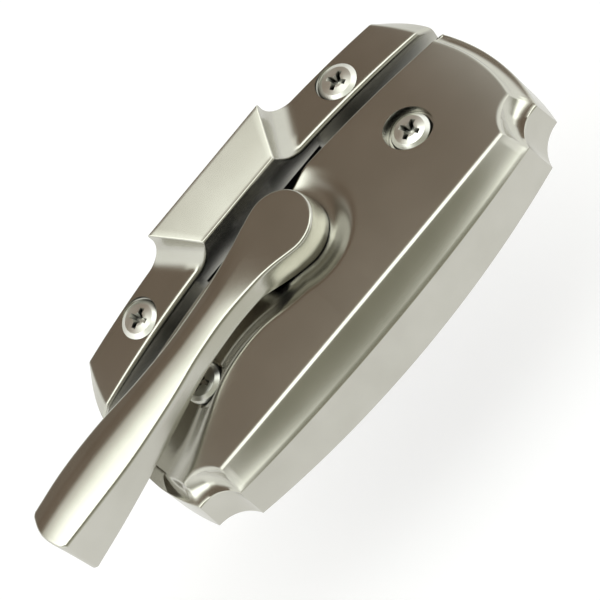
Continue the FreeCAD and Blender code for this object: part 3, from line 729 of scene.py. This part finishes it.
def lever_skin():
    """Hub flowing into a slim neck and a flared grip, with its shank below."""
    count, ends = 190, 26
    top = lever_outline(
        HUB_TOP_R,
        [(-4.6, -1.0), (-8.0, -0.3), (-12.0, 0.05), (-16.0, 0.1), (-20.0, -0.15), (-26.0, -0.95),
         (-32.0, -2.1), (-38.0, -3.0), (-46.0, -3.9), (-56.0, -4.5), (-64.0, -4.95)],
        [(-64.6, 4.9), (-56.0, 6.3), (-46.0, 6.65), (-36.0, 6.05), (-26.0, 6.15), (-16.0, 7.25),
         (-8.0, 8.7), (-4.5, 9.6)],
        [(-65.2, -3.8), (-66.1, 0.0), (-65.4, 3.9)],
        count, ends)
    base = lever_outline(
        HUB_FOOT_R,
        [(-5.3, -2.0), (-8.0, -1.7), (-12.0, -1.45), (-16.0, -1.4), (-20.0, -1.65), (-26.0, -2.25),
         (-32.0, -3.2), (-38.0, -4.1), (-46.0, -5.35), (-56.0, -6.55), (-64.6, -7.3)],
        [(-64.9, 5.3), (-56.0, 6.8), (-46.0, 6.95), (-36.0, 6.3), (-26.0, 6.35), (-16.0, 7.4),
         (-8.4, 9.0), (-5.2, 9.9)],
        [(-65.6, -6.4), (-66.27, -2.4), (-65.9, 2.6)],
        count, ends)
    total = len(top)
    edge = np.column_stack([top, crest_z(top[:, 0], top[:, 1])])
    foot = np.column_stack([base, under_z(base[:, 0], base[:, 1])])
    along = np.roll(top, -1, axis=0) - np.roll(top, 1, axis=0)
    along /= np.linalg.norm(along, axis=1)[:, None]
    centre_side = np.column_stack([-along[:, 1], along[:, 0]])
    if centre_side[total // 8].dot(np.array((-20.0, 3.0)) - top[total // 8]) < 0.0:
        centre_side = -centre_side
    soft = 0.5
    start = edge.copy()
    start[:, :2] += centre_side * soft
    start[:, 2] = crest_z(start[:, 0], start[:, 1])
    down = foot - edge
    down /= np.linalg.norm(down, axis=1)[:, None]
    past = edge + down * soft
    grid = coons(start, count, ends)
    grid[:, :, 2] = crest_z(grid[:, :, 0], grid[:, :, 1])
    rings = [bezier(start, edge, past, t) for t in np.linspace(0.0, 1.0, 8)[1:]]
    before = foot - down * 0.25
    rings += [past + (before - past) * t for t in np.linspace(0.0, 1.0, 5)[1:]]
    inner = foot.copy()
    inner[:, :2] += centre_side * 0.25
    rings += [bezier(before, foot, inner, t) for t in np.linspace(0.0, 1.0, 4)[1:]]
    under = coons(inner, count, ends)
    under[:, :, 2] = under_z(under[:, :, 0], under[:, :, 1])
    rings[-1] = border_of(under)
    verts, faces = closed_patch(grid, rings, under)
    arm = make_object("lever_skin", verts, faces)
    shank = shank_cover()
    both = bmesh.new()
    both.from_mesh(arm.data)
    both.from_mesh(shank.data)
    both.to_mesh(arm.data)
    both.free()
    bpy.data.objects.remove(shank)
    shade(arm)
    return arm


# ---------------------------------------------------------------- studio

# Tilt from straight up towards +Y, in degrees, and the light that comes from there
SKY = [
    (-180.0, (0.9, 0.9, 0.86)),
    (-100.0, (0.95, 0.96, 0.90)),
    (-72.0, (0.75, 0.75, 0.66)),
    (-42.0, (0.32, 0.31, 0.24)),
    (-14.0, (0.24, 0.23, 0.165)),
    (-4.0, (2.7, 2.8, 2.65)),
    (9.0, (2.7, 2.8, 2.65)),
    (16.0, (2.5, 2.6, 2.45)),
    (23.0, (0.5, 0.46, 0.40)),
    (30.0, (0.215, 0.16, 0.115)),
    (55.0, (0.19, 0.138, 0.10)),
    (78.0, (0.55, 0.55, 0.5)),
    (100.0, (0.95, 0.95, 0.9)),
]


def studio_light():
    """Pale room with a bright overhead panel and a dark warm ceiling behind it."""
    world = bpy.data.worlds.new("studio")
    bpy.context.scene.world = world
    world.use_nodes = True
    tree = world.node_tree
    tree.nodes.clear()
    out = tree.nodes.new("ShaderNodeOutputWorld")
    sky = tree.nodes.new("ShaderNodeBackground")
    coord = tree.nodes.new("ShaderNodeTexCoord")
    split = tree.nodes.new("ShaderNodeSeparateXYZ")
    tree.links.new(coord.outputs["Generated"], split.inputs["Vector"])
    ramp = tree.nodes.new("ShaderNodeValToRGB")
    angle = tree.nodes.new("ShaderNodeMath")
    angle.operation = "ARCTAN2"
    tree.links.new(split.outputs["Y"], angle.inputs[0])
    tree.links.new(split.outputs["Z"], angle.inputs[1])
    turn = tree.nodes.new("ShaderNodeMapRange")
    turn.inputs["From Min"].default_value = -math.pi
    turn.inputs["From Max"].default_value = math.pi
    tree.links.new(angle.outputs["Value"], turn.inputs["Value"])
    tree.links.new(turn.outputs["Result"], ramp.inputs["Fac"])
    ramp.color_ramp.interpolation = "EASE"
    while len(ramp.color_ramp.elements) > 1:
        ramp.color_ramp.elements.remove(ramp.color_ramp.elements[-1])
    for i, (degrees, colour) in enumerate(SKY):
        place = (degrees + 180.0) / 360.0
        if i == 0:
            stop = ramp.color_ramp.elements[0]
            stop.position = place
        else:
            stop = ramp.color_ramp.elements.new(place)
        stop.color = (*colour, 1.0)
    side = tree.nodes.new("ShaderNodeMath")
    side.operation = "ABSOLUTE"
    tree.links.new(split.outputs["X"], side.inputs[0])
    beside = tree.nodes.new("ShaderNodeMapRange")
    beside.interpolation_type = "SMOOTHSTEP"
    beside.inputs["From Min"].default_value = 0.5
    beside.inputs["From Max"].default_value = 0.8
    tree.links.new(side.outputs["Value"], beside.inputs["Value"])
    room = tree.nodes.new("ShaderNodeMix")
    room.data_type = "RGBA"
    tree.links.new(beside.outputs["Result"], room.inputs[0])
    tree.links.new(ramp.outputs["Color"], room.inputs[6])
    room.inputs[7].default_value = (1.2, 1.22, 1.18, 1.0)
    tree.links.new(room.outputs[2], sky.inputs["Color"])
    sky.inputs["Strength"].default_value = 1.0
    tree.links.new(sky.outputs["Background"], out.inputs["Surface"])


def floor():
    """Pale floor, low enough for the keeper at the end of its slide."""
    mesh = bpy.data.meshes.new("floor")
    half = 3.0
    z = CAD_BOX[0][2] - KEEPER_DROP - 0.001
    corners = [(-half, -half, z), (half, -half, z), (half, half, z), (-half, half, z)]
    mesh.from_pydata(corners, [], [(0, 1, 2, 3)])
    obj = bpy.data.objects.new("floor", mesh)
    bpy.context.collection.objects.link(obj)
    mat = new_material("paper")
    tree = mat.node_tree
    out = add(tree, "ShaderNodeOutputMaterial")
    shader = add(tree, "ShaderNodeBsdfDiffuse")
    shader.inputs["Color"].default_value = (0.46, 0.46, 0.475, 1.0)
    glow = add(tree, "ShaderNodeEmission")
    glow.inputs["Color"].default_value = (1.0, 1.0, 1.0, 1.0)
    glow.inputs["Strength"].default_value = 0.6
    both = add(tree, "ShaderNodeAddShader")
    tree.links.new(shader.outputs["BSDF"], both.inputs[0])
    tree.links.new(glow.outputs["Emission"], both.inputs[1])
    tree.links.new(both.outputs["Shader"], out.inputs["Surface"])
    mesh.materials.append(mat)


# Place of the camera in mm, and the directions of its right, up and back
CAMERA_PLACE = (-2.59, -126.06, 180.59)
CAMERA_AXES = (
    Vector((0.64074, -0.62043, -0.45225)),
    Vector((0.76754, 0.53183, 0.35784)),
    Vector((0.01850, -0.57640, 0.81696)),
)
CAMERA_LENS, CAMERA_SENSOR = 72.7, 36.0


def camera():
    data = bpy.data.cameras.new("camera")
    data.sensor_width = CAMERA_SENSOR
    data.lens = CAMERA_LENS
    data.clip_start = 0.01
    obj = bpy.data.objects.new("camera", data)
    turn = Matrix(CAMERA_AXES).transposed().to_4x4()
    obj.matrix_world = Matrix.Translation(Vector(CAMERA_PLACE) * MM) @ turn
    bpy.context.collection.objects.link(obj)
    bpy.context.scene.camera = obj


dress_cad_nodes()
finish_piece(housing_skin(), "lock", "lock_housing", SATIN_SHORT_SHADE)
finish_piece(keeper_skin(), "keeper", "keeper", SATIN)
finish_piece(lever_skin(), "lever_and_cam", "lever", SATIN_SHORT_SHADE)
studio_light()
floor()
camera()
bpy.context.scene.view_settings.view_transform = "Standard"
